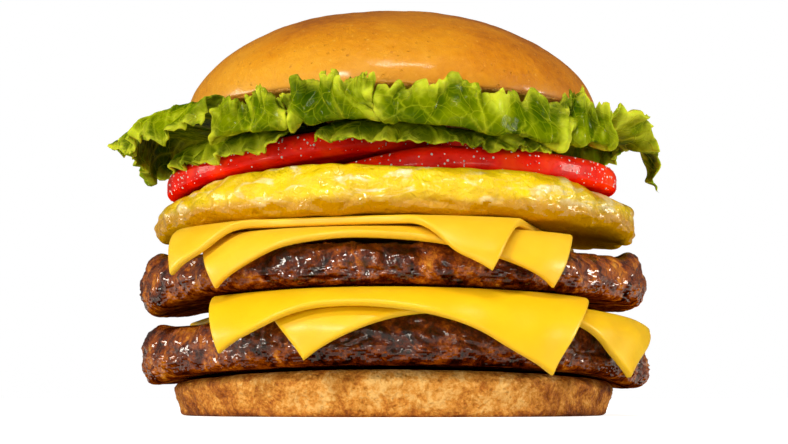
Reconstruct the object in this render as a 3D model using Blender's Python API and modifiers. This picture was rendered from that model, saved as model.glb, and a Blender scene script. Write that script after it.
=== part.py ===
"""Double cheeseburger with an egg patty, tomato and lettuce, in metres with +Z up.

It stands on z = 0 with its axis on the origin and its front towards -Y.
"""
import math

import bmesh
import bpy
from mathutils import Vector, noise

# Lengths below are in millimetres, angles in degrees.
MM = 0.001

# Where the axis of the stack stands, which centres the leaves and slices on the origin.
AXIS_X = -0.2
AXIS_Y = 1.65

# Radii of the round pieces.
HEEL_RADIUS = 51.0
PATTY_RADIUS = 58.6
EGG_RADIUS = 55.6
CROWN_RADIUS = 48.6

# Heights on the axis, from the table up.
HEEL_TOP = 10.0
LOWER_PATTY_BOTTOM = 10.6
LOWER_PATTY_TOP = 22.2
UPPER_PATTY_BOTTOM = 27.1
UPPER_PATTY_TOP = 37.0
EGG_BOTTOM = 41.9
EGG_TOP = 51.9
CROWN_BOTTOM = 69.4
CROWN_WIDEST = 70.4
CROWN_TOP = 94.4

# The layers bow down towards the left and right ends.
SAG_LOW = 3.0
SAG_HIGH = 1.3
SAG_REACH = 59.5

# The egg is dished in the middle, falls off to its rim, and its front lip stands up.
EGG_DISH = 3.0
EGG_FALL = 2.4
EGG_LIP = 2.4
EGG_END_DROP = 1.2
EGG_LIP_ENDS = (36.0, 48.0)
EGG_CREST = 0.9
EGG_CREST_MIDDLE = -16.0
EGG_CREST_WIDTH = 12.0

# Roundings of the rims.
HEEL_ROUND_TOP = 2.6
HEEL_ROUND_BOTTOM = 1.2
HEEL_TAPER = 1.6
PATTY_ROUND_TOP = 6.0
PATTY_ROUND_BOTTOM = 3.6
EGG_ROUND_TOP = 5.2
EGG_ROUND_BOTTOM = 3.0
TOMATO_ROUND = 2.1
CROWN_ROUND = 1.1
CROWN_POWER = 1.85
CROWN_LEAN = 0.018

# Cheese slices are sheets that hang over the rim of the patty under them. For each: its two
# front corners as it lies flat, how far the middle of its front edge is drawn in, and how
# far its right edge runs out for each millimetre towards the back.
CHEESE_SLICES = {
    "cheese_lower_under": (((-21.2, -68.7), (58.2, -42.2)), 0.5, 0.33),
    "cheese_lower_over": (((-40.4, -61.7), (38.2, -68.9)), 1.5, 0.0),
    "cheese_upper_under": (((-41.6, -56.9), (36.9, -60.5)), 0.0, 0.0),
    "cheese_upper_over": (((-50.9, -50.2), (21.9, -68.5)), 7.5, 0.0),
}
CHEESE_FLARE_REACH = 36.0
CHEESE_DEPTH = 94.0
CHEESE_THICK = 1.8
CHEESE_CLEAR = 0.5
CHEESE_GAP = 0.42
CHEESE_BEND_CLEAR = 0.8
CHEESE_CORNER = 0.012
CHEESE_CELLS = 12

# Tomato slices: radius, middle and thickness.
TOMATO_THICK = 5.9
TOMATO_PRESSED = 1.0
LEFT_TOMATO_RADIUS = 35.5
LEFT_TOMATO_MIDDLE = (-17.0, -6.0)
LEFT_TOMATO_BED = 58.0
LEFT_TOMATO_SLOPE = 0.118
RIGHT_TOMATO_RADIUS = 35.5
RIGHT_TOMATO_MIDDLE = (15.7, -9.0)
RIGHT_TOMATO_BED = 52.6
RIGHT_TOMATO_SLOPE = 0.15
RIGHT_TOMATO_BEND = (2.0, 4.0)
TOMATO_DROOP = 2.2
TOMATO_DROOP_REACH = 56.0

# Lettuce leaves are thin sheets, each on its own path out of the middle.
LEAF_THICK = 0.8
LEAF_CELLS_ACROSS = 10
LEAF_CELLS_ALONG = 6
LEAF_SEAM = 0.9
LEAF_SEAM_WAVE = 1.6

# The fan keeps near its left path over most of its width: the power that holds it there.
LEAF_TURNS_LATE = {"lettuce_right_fan": 3.0}

# Each leaf: name, the headings of its two sides from the front, the path of each side as
# four (radius, height) control points, edge wave, number of waves, and seed. Where a path
# ends high the leaf turns up against the top bun, and where it ends low it hangs down.
LEAVES = (
    ("lettuce_left", -82.5, -42.0, ((18, 66.0), (56, 65.4), (58, 75.0), (66.0, 59.0)),
     ((18, 66.0), (56, 65.4), (58, 75.0), (65.0, 59.0)), 1.3, 2.5, 1),
    ("lettuce_left_front", -42.0, -23.5, ((18, 67.4), (62, 68.0), (61, 48.0), (58.0, 70.0)),
     ((18, 67.4), (62, 68.0), (60, 49.0), (57.0, 71.5)), 0.9, 1.5, 2),
    ("lettuce_front_frill", -23.5, -3.0, ((18, 67.4), (62, 68.0), (60, 49.0), (56.5, 72.5)),
     ((18, 67.4), (62, 68.0), (60, 50.0), (56.5, 74.0)), 1.1, 2.5, 3),
    ("lettuce_front_broad", -3.0, 36.5, ((18, 67.4), (62, 68.0), (60, 50.0), (57.0, 72.0)),
     ((18, 67.2), (62, 68.0), (62, 42.0), (57.0, 71.5)), 1.0, 2.5, 4),
    ("lettuce_front_lower", -18.0, 14.0, ((18, 64.8), (44, 64.8), (53, 61.5), (52.5, 57.0)),
     ((18, 65.0), (44, 64.4), (53, 61.0), (52.5, 56.0)), 0.4, 2.0, 5),
    ("lettuce_left_lower", -70.0, -27.0, ((18, 64.4), (47, 62.0), (52, 65.0), (55.5, 53.5)),
     ((18, 64.4), (46, 62.4), (52, 63.0), (53.0, 55.5)), 0.5, 2.5, 6),
    ("lettuce_right_lower", 15.0, 36.0, ((34, 62.5), (42, 61.5), (50, 61.5), (51.0, 55.5)),
     ((34, 62.0), (44, 60.0), (55, 60.5), (56.0, 55.8)), 0.4, 2.0, 13),
    ("lettuce_right", 36.5, 52.5, ((18, 67.2), (62, 68.0), (62, 43.0), (57.0, 73.0)),
     ((18, 67.0), (62, 68.0), (62, 47.0), (58.5, 71.0)), 1.0, 1.5, 7),
    ("lettuce_right_fan", 59.0, 98.0, ((18, 66.6), (52, 65.0), (52, 59.0), (61.0, 70.5)),
     ((18, 66.6), (57, 65.2), (62, 72.0), (64.2, 51.0)), 1.3, 2.5, 8),
    ("lettuce_rear_right", 98.0, 142.0, ((18, 66.0), (57, 61.0), (54, 78.0), (55.5, 61.0)),
     ((18, 66.0), (60, 61.0), (56, 79.0), (59.0, 57.0)), 1.1, 3.0, 9),
    ("lettuce_rear", 142.0, 184.0, ((18, 67.0), (62, 68.0), (62, 44.0), (57.0, 72.0)),
     ((18, 67.0), (62, 68.0), (62, 46.0), (57.0, 73.0)), 1.2, 3.0, 10),
    ("lettuce_rear_left", 184.0, 224.0, ((18, 66.0), (60, 61.0), (56, 78.0), (58.5, 57.0)),
     ((18, 66.0), (60, 61.0), (56, 78.0), (58.5, 57.0)), 1.1, 2.5, 11),
    ("lettuce_left_rear", 224.0, 277.5, ((18, 66.6), (58, 63.0), (58, 79.0), (62.5, 57.0)),
     ((18, 66.6), (58, 63.0), (58, 79.0), (62.5, 57.0)), 1.3, 3.5, 12),
)


def smooth(low, high, value):
    """Soft step from 0 at low to 1 at high."""
    share = min(1.0, max(0.0, (value - low) / (high - low)))
    return share * share * (3.0 - 2.0 * share)


def relief(x, y, z, size, amount):
    """Soft lumps of the given size and height, the same on every run."""
    return amount * noise.noise(Vector((x, y, z)) / size)


def settled(x, y, z):
    """A point after the stack has bowed down at its left and right ends, in metres."""
    sag = SAG_LOW * min(1.0, max(0.0, z / HEEL_TOP))
    sag -= (SAG_LOW - SAG_HIGH) * smooth(UPPER_PATTY_BOTTOM, EGG_BOTTOM, z)
    sag -= SAG_HIGH * smooth(CROWN_BOTTOM, CROWN_TOP, z)
    return Vector((x + AXIS_X, y + AXIS_Y, z - sag * (x / SAG_REACH) ** 2)) * MM


def clear_scene():
    """Remove whatever the scene starts with."""
    for thing in list(bpy.data.objects):
        bpy.data.objects.remove(thing, do_unlink=True)


def food(name, colour, roughness):
    """A plain Principled material."""
    material = bpy.data.materials.new(name)
    material.use_nodes = True
    shader = material.node_tree.nodes["Principled BSDF"]
    shader.inputs["Base Color"].default_value = (*colour, 1.0)
    shader.inputs["Roughness"].default_value = roughness
    return material


def finish(bm, name, material, collection):
    """Turn a bmesh into a smooth-shaded object of the collection, split into triangles."""
    bmesh.ops.triangulate(bm, faces=bm.faces[:], quad_method="LONG_EDGE")
    mesh = bpy.data.meshes.new(name)
    bm.to_mesh(mesh)
    bm.free()
    thing = bpy.data.objects.new(name, mesh)
    mesh.materials.append(material)
    mesh.polygons.foreach_set("use_smooth", [True] * len(mesh.polygons))
    collection.objects.link(thing)
    return thing


def disc_rings(radius, top, bottom, rounds, taper, steps):
    """Profile of a flat round piece as (radius, height), from its top middle round to below.

    Steps are the shares of the radius with a ring on the top face and on the underside,
    and the numbers of rings on each rounding and on the side.
    """
    round_top, round_bottom = rounds
    top_shares, bottom_shares, arc_steps, side_steps = steps
    foot = radius - taper
    rings = [((radius - round_top) * share, top) for share in top_shares]
    for i in range(1, arc_steps + 1):
        turn = math.radians(90) * i / arc_steps
        rings.append((radius - round_top * (1 - math.sin(turn)), top - round_top * (1 - math.cos(turn))))
    for i in range(1, side_steps + 1):
        share = i / side_steps
        height = (top - round_top) * (1 - share) + (bottom + round_bottom) * share
        rings.append((radius - taper * share, height))
    for i in range(1, arc_steps + 1):
        turn = math.radians(90) * i / arc_steps
        rings.append((foot - round_bottom * (1 - math.cos(turn)), bottom + round_bottom * (1 - math.sin(turn))))
    rings.extend(((foot - round_bottom) * share, bottom) for share in bottom_shares)
    return rings


def turned(name, rings, segments, shape, material, collection):
    """A closed round piece: a sphere whose rings are moved to the profile, then shaped."""
    bm = bmesh.new()
    steps = len(rings) + 1
    bmesh.ops.create_uvsphere(bm, u_segments=segments, v_segments=steps, radius=1.0)
    for vertex in bm.verts:
        ring = round(math.acos(max(-1.0, min(1.0, vertex.co.z))) / math.pi * steps)
        if ring == 0:
            radius, height = 0.0, rings[0][1]
        elif ring == steps:
            radius, height = 0.0, rings[-1][1]
        else:
            radius, height = rings[ring - 1]
        angle = math.atan2(vertex.co.y, vertex.co.x)
        vertex.co = settled(*shape(angle, radius, height))
    return finish(bm, name, material, collection)


def heel_shape(angle, radius, height):
    """The bottom bun: slightly out of round, and flat below."""
    share = radius / HEEL_RADIUS
    across = math.cos(angle)
    away = math.sin(angle)
    wide = radius + share * relief(across * 40, away * 40, 3.0, 24.0, 1.2)
    lift = relief(across * radius, away * radius, 8.0, 18.0, 0.35) * smooth(0.0, HEEL_TOP, height)
    return wide * across, wide * away, height - abs(lift)


class Patty:
    """One meat patty: its own heights, and how far its ends swell up and down."""

    def __init__(self, top, bottom, end_rise, end_drop, seed):
        self.top = top
        self.bottom = bottom
        self.end_rise = end_rise
        self.end_drop = end_drop
        self.seed = seed

    def end(self, angle, amounts, spread):
        """Swelling at the left and right ends, for the pair (left, right)."""
        across = math.cos(angle)
        left, right = amounts
        return (left if across < 0 else right) * smooth(spread, 0.99, abs(across))

    def rim(self, angle):
        """Radius of the rim, which is out of round."""
        return PATTY_RADIUS + relief(math.cos(angle) * 30, math.sin(angle) * 30, self.seed, 17.0, 1.6)

    def top_at(self, angle, radius):
        """Height of the top face."""
        return self.top + self.end(angle, self.end_rise, 0.955) * smooth(50.0, 56.0, radius)

    def bottom_at(self, angle, radius):
        """Height of the underside."""
        return self.bottom - self.end(angle, self.end_drop, 0.8) * smooth(48.0, 55.0, radius)

    def lumps(self, angle, radius, height):
        """Coarse lumps of minced meat on the side."""
        across = math.cos(angle) * PATTY_RADIUS
        away = math.sin(angle) * PATTY_RADIUS
        return relief(across, away, height * 1.3 + self.seed * 9, 9.0, 1.0) * smooth(48.0, 57.0, radius)

    def shape(self, angle, radius, height):
        """A profile point with the rim, the ends and the lumps put in."""
        wide = radius * self.rim(angle) / PATTY_RADIUS
        share = (height - self.bottom) / (self.top - self.bottom)
        level = self.top_at(angle, wide) * share + self.bottom_at(angle, wide) * (1 - share)
        wide += self.lumps(angle, wide, height)
        return wide * math.cos(angle), wide * math.sin(angle), level

    def drape(self, x, y, lift):
        """Where a point of a flat sheet comes to lie, lift above the top face."""
        radius = math.hypot(x, y)
        angle = math.atan2(y, x)
        corner = self.rim(angle) - PATTY_ROUND_TOP + CHEESE_BEND_CLEAR + 0.55 * lift
        level = self.top_at(angle, min(radius, corner))
        if radius <= corner:
            return x, y, level + lift
        turn = PATTY_ROUND_TOP + lift
        bend = min((radius - corner) / turn, math.radians(86))
        fall = radius - corner - turn * bend
        out = corner + turn * math.sin(bend) + fall * math.cos(bend)
        down = level - PATTY_ROUND_TOP + turn * math.cos(bend) - fall * math.sin(bend)
        out += self.lumps(angle, out, down)
        return out * math.cos(angle), out * math.sin(angle), down


def cheese_sheet(name, patty, lift, material, collection):
    """A slice laid flat over the patty, turned to its two front corners and draped."""
    corners, hollow, flare = CHEESE_SLICES[name]
    left, right = Vector(corners[0]), Vector(corners[1])
    width = (right - left).length
    along = (right - left) / width
    back = Vector((-along.y, along.x))
    middle = (left + right) / 2 + back * CHEESE_DEPTH / 2
    bm = bmesh.new()
    bmesh.ops.create_grid(bm, x_segments=CHEESE_CELLS, y_segments=CHEESE_CELLS, size=1.0)
    for vertex in bm.verts:
        spread = [math.copysign(abs(value) ** 0.5, value) for value in vertex.co.xy]
        side = spread[0] * width / 2
        depth = spread[1] * CHEESE_DEPTH / 2
        pinch = smooth(0.6, 1.0, abs(spread[0])) * smooth(0.6, 1.0, abs(spread[1]))
        inwards = 1 - pinch * CHEESE_CORNER
        from_front = CHEESE_DEPTH / 2 + depth
        drawn = hollow * (1 - smooth(0.35, 0.8, abs(spread[0]))) * (1 - from_front / CHEESE_DEPTH)
        run_out = flare * min(from_front, CHEESE_FLARE_REACH) * (1 + spread[0]) / 2
        flat = middle + along * (side * inwards + run_out) + back * (depth * inwards + drawn)
        vertex.co = settled(*patty.drape(flat.x, flat.y, lift + CHEESE_THICK / 2))
    thing = finish(bm, name, material, collection)
    shell = thing.modifiers.new("thickness", "SOLIDIFY")
    shell.thickness = CHEESE_THICK * MM
    shell.offset = 0.0
    return thing


def egg_shape(angle, radius, height):
    """The folded egg patty: dished on top, wrinkled at the ends, lumpy below."""
    across = math.cos(angle)
    away = math.sin(angle)
    share = radius / EGG_RADIUS
    top_share = (height - EGG_BOTTOM) / (EGG_TOP - EGG_BOTTOM)
    side = smooth(0.86, 1.0, share)
    wide = radius + share * relief(across * 34, away * 34, 6.0, 15.0, 1.4)
    wide += side * relief(across * 60, away * 60, height * 0.35, 5.0, 0.9) * smooth(0.5, 0.95, abs(across))
    dish = EGG_DISH * (1 - smooth(26.0, 46.0, radius)) + EGG_FALL * share ** 4
    if away < 0:
        crest = math.exp(-((across * radius - EGG_CREST_MIDDLE) / EGG_CREST_WIDTH) ** 2)
        lip = EGG_LIP * (1 - smooth(*EGG_LIP_ENDS, abs(across) * radius)) + EGG_CREST * crest
        dish -= lip * smooth(49.5, 52.5, radius)
    lumps = side * (1 - top_share) * relief(across * 50, away * 50, 1.0, 8.0, 1.1)
    lumps -= EGG_END_DROP * smooth(0.9, 0.98, abs(across)) * side * (1 - top_share)
    return wide * across, wide * away, height - dish * top_share + lumps


def droop(x, y):
    """How far a tomato slice gives way over the rim of the egg."""
    return TOMATO_DROOP * min(1.0, math.hypot(x, y) / TOMATO_DROOP_REACH) ** 4


def left_tomato_shape(angle, radius, height):
    """The slice that rises onto the other one."""
    wide = radius + relief(math.cos(angle) * 20, math.sin(angle) * 20, 4.0, 14.0, 0.7) * radius / LEFT_TOMATO_RADIUS
    x = LEFT_TOMATO_MIDDLE[0] + wide * math.cos(angle)
    y = LEFT_TOMATO_MIDDLE[1] + wide * math.sin(angle)
    bed = LEFT_TOMATO_BED + LEFT_TOMATO_SLOPE * (x - 0.016 * max(0.0, x) ** 2)
    pressed = TOMATO_PRESSED * smooth(-10.0, 8.0, x) * height / TOMATO_THICK
    return x, y, bed + height - pressed - droop(x, y)


def right_tomato_shape(angle, radius, height):
    """The slice that lies on the egg, its left part bent down under the other one."""
    wide = radius + relief(math.cos(angle) * 20, math.sin(angle) * 20, 9.0, 14.0, 0.6) * radius / RIGHT_TOMATO_RADIUS
    x = RIGHT_TOMATO_MIDDLE[0] + wide * math.cos(angle)
    y = RIGHT_TOMATO_MIDDLE[1] + wide * math.sin(angle)
    bend, softness = RIGHT_TOMATO_BEND
    bed = RIGHT_TOMATO_BED - RIGHT_TOMATO_SLOPE * (bend - x + math.hypot(bend - x, softness)) / 2
    pressed = TOMATO_PRESSED * (1 - smooth(-4.0, 10.0, x)) * height / TOMATO_THICK
    return x, y, bed + height - pressed - droop(x, y)


def crown_rings(counts):
    """Profile of the top bun: a dome, a tight curl at its edge, and a flat cut face."""
    dome_steps, arc_steps, face_rings = counts
    rings = []
    for i in range(1, dome_steps + 1):
        turn = math.radians(90) * i / dome_steps
        across = math.sin(turn) ** (2 / CROWN_POWER)
        above = math.cos(turn) ** (2 / CROWN_POWER) if i < dome_steps else 0.0
        rings.append((CROWN_RADIUS * across, CROWN_WIDEST + (CROWN_TOP - CROWN_WIDEST) * above))
    for i in range(1, arc_steps + 1):
        turn = math.radians(90) * i / arc_steps
        rings.append((CROWN_RADIUS - CROWN_ROUND * (1 - math.cos(turn)),
                      CROWN_WIDEST - (CROWN_WIDEST - CROWN_BOTTOM) * math.sin(turn)))
    for i in range(face_rings - 1, 0, -1):
        rings.append(((CROWN_RADIUS - CROWN_ROUND) * i / face_rings, CROWN_BOTTOM))
    return rings


def crown_shape(angle, radius, height):
    """The top bun: a little lumpy, and fuller on its left."""
    across = math.cos(angle)
    away = math.sin(angle)
    share = radius / CROWN_RADIUS
    above = smooth(CROWN_BOTTOM, CROWN_TOP, height)
    wide = radius + share * relief(across * 36, away * 36, 2.0, 26.0, 0.9)
    lift = relief(across * radius, away * radius, 5.0, 24.0, 0.8) * above
    wide *= 1 - CROWN_LEAN * max(0.0, across)
    return wide * across, wide * away, height + lift


def on_path(path, share):
    """A point on the curve of four control points, as radius and height."""
    rest = 1 - share
    weights = (rest ** 3, 3 * rest ** 2 * share, 3 * rest * share ** 2, share ** 3)
    return [sum(weight * point[i] for weight, point in zip(weights, path)) for i in range(2)]


def seam(heading, along):
    """Heading of the wavy line that two neighbouring leaves share, in degrees."""
    return heading + LEAF_SEAM_WAVE * math.sin(6.0 * along + math.radians(heading) * 5)


def between(first, second, share):
    """The control points a share of the way from one path to another."""
    return [[a + (b - a) * share for a, b in zip(*pair)] for pair in zip(first, second)]


def leaf_point(leaf, across, along):
    """A point of a leaf: across runs from -1 to 1 over its width, along from 0 to 1 to its tip."""
    name, left, right, left_path, right_path, wave, waves, seed = leaf
    side = (across + 1) / 2
    path = between(left_path, right_path, side ** LEAF_TURNS_LATE.get(name, 1.0))
    inner = 1 - across * across
    rounded = 0.94 + 0.06 * inner - 0.04 * inner * math.sin(across * waves * 1.6 + seed) ** 2
    rounded = 1 - (1 - rounded) * smooth(0.3, 1.0, along)
    share = along ** 0.75 * rounded
    radius, height = on_path(path, share)
    ahead = on_path(path, min(1.0, share + 0.02))
    behind = on_path(path, max(0.0, share - 0.02))
    run = Vector((ahead[0] - behind[0], ahead[1] - behind[1])).normalized()
    ripple = wave * math.sin(across * waves * math.pi + seed)
    ripple += relief(across * 9, along * 9, seed * 7.0, 4.0, 0.5)
    ripple *= smooth(0.35, 1.0, share) * (1 - 0.7 * smooth(0.6, 1.0, abs(across)))
    radius -= run.y * ripple
    height += run.x * ripple
    turn = (seam(left, along) + LEAF_SEAM) * (1 - side) + (seam(right, along) - LEAF_SEAM) * side
    turn = math.radians(turn)
    return radius * math.sin(turn), -radius * math.cos(turn), height


def leaf(row, material, collection):
    """One lettuce leaf as a thin wavy solid."""
    bm = bmesh.new()
    bmesh.ops.create_grid(bm, x_segments=LEAF_CELLS_ACROSS, y_segments=LEAF_CELLS_ALONG, size=1.0)
    for vertex in bm.verts:
        vertex.co = settled(*leaf_point(row, vertex.co.x, (vertex.co.y + 1) / 2))
    thing = finish(bm, row[0], material, collection)
    shell = thing.modifiers.new("thickness", "SOLIDIFY")
    shell.thickness = LEAF_THICK * MM
    shell.offset = 0.0
    return thing


def build():
    """Every piece of the burger, from the bottom up."""
    clear_scene()
    burger = bpy.data.collections.new("double_cheeseburger")
    bpy.context.scene.collection.children.link(burger)

    heel_rings = disc_rings(HEEL_RADIUS, HEEL_TOP, 0.0, (HEEL_ROUND_TOP, HEEL_ROUND_BOTTOM), HEEL_TAPER,
                            ((0.5, 1.0), (0.5,), 2, 2))
    turned("bun_heel", heel_rings, 42, heel_shape, food("toasted_bun", (0.62, 0.30, 0.07), 0.75), burger)

    meat = food("browned_meat", (0.14, 0.035, 0.008), 0.45)
    cheese = food("cheese", (0.87, 0.60, 0.03), 0.4)
    lower = Patty(LOWER_PATTY_TOP, LOWER_PATTY_BOTTOM, (1.7, 0.0), (1.0, 2.4), 1.0)
    upper = Patty(UPPER_PATTY_TOP, UPPER_PATTY_BOTTOM, (2.4, 3.0), (1.4, 0.0), 4.0)
    for name, patty in (("patty_lower", lower), ("patty_upper", upper)):
        rings = disc_rings(PATTY_RADIUS, patty.top, patty.bottom, (PATTY_ROUND_TOP, PATTY_ROUND_BOTTOM), 0.0,
                           ((0.45, 0.89, 1.0), (0.87, 0.4), 3, 2))
        turned(name, rings, 54, patty.shape, meat, burger)

    under_lift = CHEESE_CLEAR
    over_lift = CHEESE_CLEAR + CHEESE_THICK + CHEESE_GAP
    cheese_sheet("cheese_lower_under", lower, under_lift, cheese, burger)
    cheese_sheet("cheese_lower_over", lower, over_lift, cheese, burger)
    cheese_sheet("cheese_upper_under", upper, under_lift, cheese, burger)
    cheese_sheet("cheese_upper_over", upper, over_lift, cheese, burger)

    egg_rings = disc_rings(EGG_RADIUS, EGG_TOP, EGG_BOTTOM, (EGG_ROUND_TOP, EGG_ROUND_BOTTOM), 0.0,
                           ((0.35, 0.6, 0.8, 0.92, 1.0), (0.86, 0.45), 3, 1))
    turned("egg_patty", egg_rings, 48, egg_shape, food("egg", (0.83, 0.59, 0.02), 0.4), burger)

    tomato = food("tomato", (0.60, 0.02, 0.004), 0.3)
    for name, radius, shape in (("tomato_right", RIGHT_TOMATO_RADIUS, right_tomato_shape),
                                ("tomato_left", LEFT_TOMATO_RADIUS, left_tomato_shape)):
        rings = disc_rings(radius, TOMATO_THICK, 0.0, (TOMATO_ROUND, TOMATO_ROUND), 0.0,
                           ((0.35, 0.7, 1.0), (0.7, 0.35), 2, 1))
        turned(name, rings, 32, shape, tomato, burger)

    green = food("lettuce", (0.25, 0.36, 0.04), 0.45)
    for row in LEAVES:
        leaf(row, green, burger)

    turned("bun_crown", crown_rings((8, 2, 2)), 46, crown_shape, food("glazed_bun", (0.78, 0.32, 0.02), 0.35), burger)


build()
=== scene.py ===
"""Looks of the double cheeseburger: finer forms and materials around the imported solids.

Every piece repeats the form of its solid from the same named sizes and adds the relief,
edges, veins, beads of water and surface of the real food.
"""
import math
import random
from collections import namedtuple

import bmesh
import bpy
import numpy as np
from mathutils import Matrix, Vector, noise


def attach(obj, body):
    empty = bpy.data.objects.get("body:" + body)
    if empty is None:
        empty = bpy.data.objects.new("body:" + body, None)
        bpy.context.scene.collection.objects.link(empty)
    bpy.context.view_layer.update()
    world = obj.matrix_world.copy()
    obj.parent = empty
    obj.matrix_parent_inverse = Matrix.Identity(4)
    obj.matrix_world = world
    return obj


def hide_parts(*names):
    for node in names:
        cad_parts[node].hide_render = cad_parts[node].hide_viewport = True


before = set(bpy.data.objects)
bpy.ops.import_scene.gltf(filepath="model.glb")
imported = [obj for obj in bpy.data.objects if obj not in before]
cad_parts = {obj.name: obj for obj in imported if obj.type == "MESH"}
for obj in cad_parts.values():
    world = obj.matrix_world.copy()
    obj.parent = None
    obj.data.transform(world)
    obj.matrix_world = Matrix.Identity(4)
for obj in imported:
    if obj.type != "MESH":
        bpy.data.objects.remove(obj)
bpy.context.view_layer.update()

# Lengths below are in millimetres, angles in degrees.
MM = 0.001

# Where the upright axis of the stack stands.
AXIS_X = -0.2
AXIS_Y = 1.65

# Radii of the round pieces.
HEEL_RADIUS = 51.0
PATTY_RADIUS = 58.6
EGG_RADIUS = 55.6
CROWN_RADIUS = 48.6

# Heights on the axis, from the table up.
HEEL_TOP = 10.0
LOWER_PATTY_BOTTOM = 10.6
LOWER_PATTY_TOP = 22.2
UPPER_PATTY_BOTTOM = 27.1
UPPER_PATTY_TOP = 37.0
EGG_BOTTOM = 41.9
EGG_TOP = 51.9
CROWN_BOTTOM = 69.4
CROWN_WIDEST = 70.4
CROWN_TOP = 94.4

# The layers bow down towards the left and right ends.
SAG_LOW = 3.0
SAG_HIGH = 1.3
SAG_REACH = 59.5

# The egg is dished in the middle, falls off to its rim, and its front lip stands up.
EGG_DISH = 3.0
EGG_FALL = 2.4
EGG_LIP = 2.4
EGG_END_DROP = 1.2
EGG_LIP_ENDS = (36.0, 48.0)
EGG_CREST = 0.9
EGG_CREST_MIDDLE = -16.0
EGG_CREST_WIDTH = 12.0
EGG_DISH_REACH = (26.0, 46.0)
EGG_LIP_REACH = (49.5, 52.5)

# The ends of the patties swell up and down, by so much at the left and at the right.
LOWER_PATTY_RISE = (1.7, 0.0)
LOWER_PATTY_DROP = (1.0, 2.4)
UPPER_PATTY_RISE = (2.4, 3.0)
UPPER_PATTY_DROP = (1.4, 0.0)

# Radii between which the relief of a patty sets in.
PATTY_RISE_REACH = (50.0, 56.0)
PATTY_DROP_REACH = (48.0, 55.0)
PATTY_LUMPS_REACH = (48.0, 57.0)
PATTY_MINCE_REACH = (36.0, 54.0)

# Roundings of the rims, how far the bottom bun draws in towards its foot, the power of the
# curve of the top bun's dome, and how much narrower that is on its right.
HEEL_ROUND_TOP = 2.6
HEEL_ROUND_BOTTOM = 1.2
HEEL_TAPER = 1.6
PATTY_ROUND_TOP = 6.0
PATTY_ROUND_BOTTOM = 3.6
EGG_ROUND_TOP = 5.2
EGG_ROUND_BOTTOM = 3.0
TOMATO_ROUND = 2.1
CROWN_ROUND = 1.1
CROWN_POWER = 1.85
CROWN_LEAN = 0.018

# Fineness of the round pieces: the points on each ring, and the numbers of rings on the top
# face, each rounding, the side and the underside. The top bun's rings are on its dome, its
# edge and its cut face.
HEEL_POINTS = 420
HEEL_STEPS = (6, 5, 14, 6)
PATTY_POINTS = 660
PATTY_STEPS = (20, 14, 8, 12)
EGG_POINTS = 520
EGG_STEPS = (18, 14, 8, 10)
TOMATO_POINTS = 320
TOMATO_STEPS = (14, 8, 5, 8)
CROWN_POINTS = 360
CROWN_STEPS = (80, 8, 10)

# Cheese slices are sheets that hang over the rim of the patty under them. For each: its two
# front corners as it lies flat, how far the middle of its front edge is drawn in, and how
# far its right edge runs out for each millimetre towards the back.
CHEESE_SLICES = {
    "cheese_lower_under": (((-21.2, -68.7), (58.2, -42.2)), 0.5, 0.33),
    "cheese_lower_over": (((-40.4, -61.7), (38.2, -68.9)), 1.5, 0.0),
    "cheese_upper_under": (((-41.6, -56.9), (36.9, -60.5)), 0.0, 0.0),
    "cheese_upper_over": (((-50.9, -50.2), (21.9, -68.5)), 7.5, 0.0),
}
CHEESE_FLARE_REACH = 36.0

# Every slice: its size, its clearances from the patty and from the other slice, how far out
# it bends and takes on the patty's lumps, how steeply it hangs at the most, how far its corners
# are drawn in as a share, the rounding of its edges, and the grid of its mesh with the share
# that the closer rows along its edges take.
CHEESE_DEPTH = 94.0
CHEESE_THICK = 1.8
CHEESE_CLEAR = 0.5
CHEESE_GAP = 0.42
CHEESE_BEND_CLEAR = 0.8
CHEESE_BEND_BLEND = 4.0
CHEESE_STEEPEST = 86
CHEESE_CORNER = 0.012
CHEESE_ROUND = 0.9
CHEESE_STEPS = 90
CHEESE_EDGE = 0.02

# Tomato slices: the thickness, and how much of it is pressed away where they cross. Then for
# each slice its radius, its middle, and the height and slope of what it lies on.
TOMATO_THICK = 5.9
TOMATO_PRESSED = 1.0
LEFT_TOMATO_RADIUS = 35.5
LEFT_TOMATO_MIDDLE = (-17.0, -6.0)
LEFT_TOMATO_BED = 58.0
LEFT_TOMATO_SLOPE = 0.118
RIGHT_TOMATO_RADIUS = 35.5
RIGHT_TOMATO_MIDDLE = (15.7, -9.0)
RIGHT_TOMATO_BED = 52.6
RIGHT_TOMATO_SLOPE = 0.15
RIGHT_TOMATO_BEND = (2.0, 4.0)

# Both slices give way over the rim of the egg.
TOMATO_DROOP = 2.2
TOMATO_DROOP_REACH = 56.0

# Beads of water: how many, the largest radius, their height as a share of it, the size of the
# patches that they gather in, and the most that the skin under them may face up or down.
BEAD_COUNT = 900
BEAD_RADIUS = 0.30
BEAD_FLAT = 0.7
BEAD_PATCH = 6
BEAD_FACING = 0.85
BEAD_SEED = 5

# Two neighbouring leaves share a wavy line. These are its wave, and how far each leaf runs
# past it, both in degrees of heading.
LEAF_SEAM_WAVE = 1.6
LEAF_OVERLAP = 0.25

# The fan keeps near its left path over most of its width: the power that holds it there.
LEAF_TURNS_LATE = {"lettuce_right_fan": 3.0}

# A face belongs to the underside if it lies beyond this share of the rings, counted from the
# top middle, and its normal points further down than this.
UNDERSIDE_FROM = 0.62
LOOKS_DOWN = -0.5

# Finer form of the leaves: grid, tears and notches of the outline as shares of the leaf,
# height and width of the ruffled border, the length that the stack holds flat and over which
# it then comes loose, the width of the pale rim, and half the thickness of leaf and vein.
LEAF_ROWS = 70
LEAF_COLUMNS = 100
LEAF_TEAR = 0.05
LEAF_NOTCH = 0.02
LEAF_RUFFLE = 1.35
LEAF_RUFFLE_WIDTH = 7.0
LEAF_HELD = 22.0
LEAF_LOOSENS = 14.0
LEAF_RIM_WIDTH = 3.2
LEAF_HALF = 0.24
VEIN_HALF = 0.22

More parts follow.
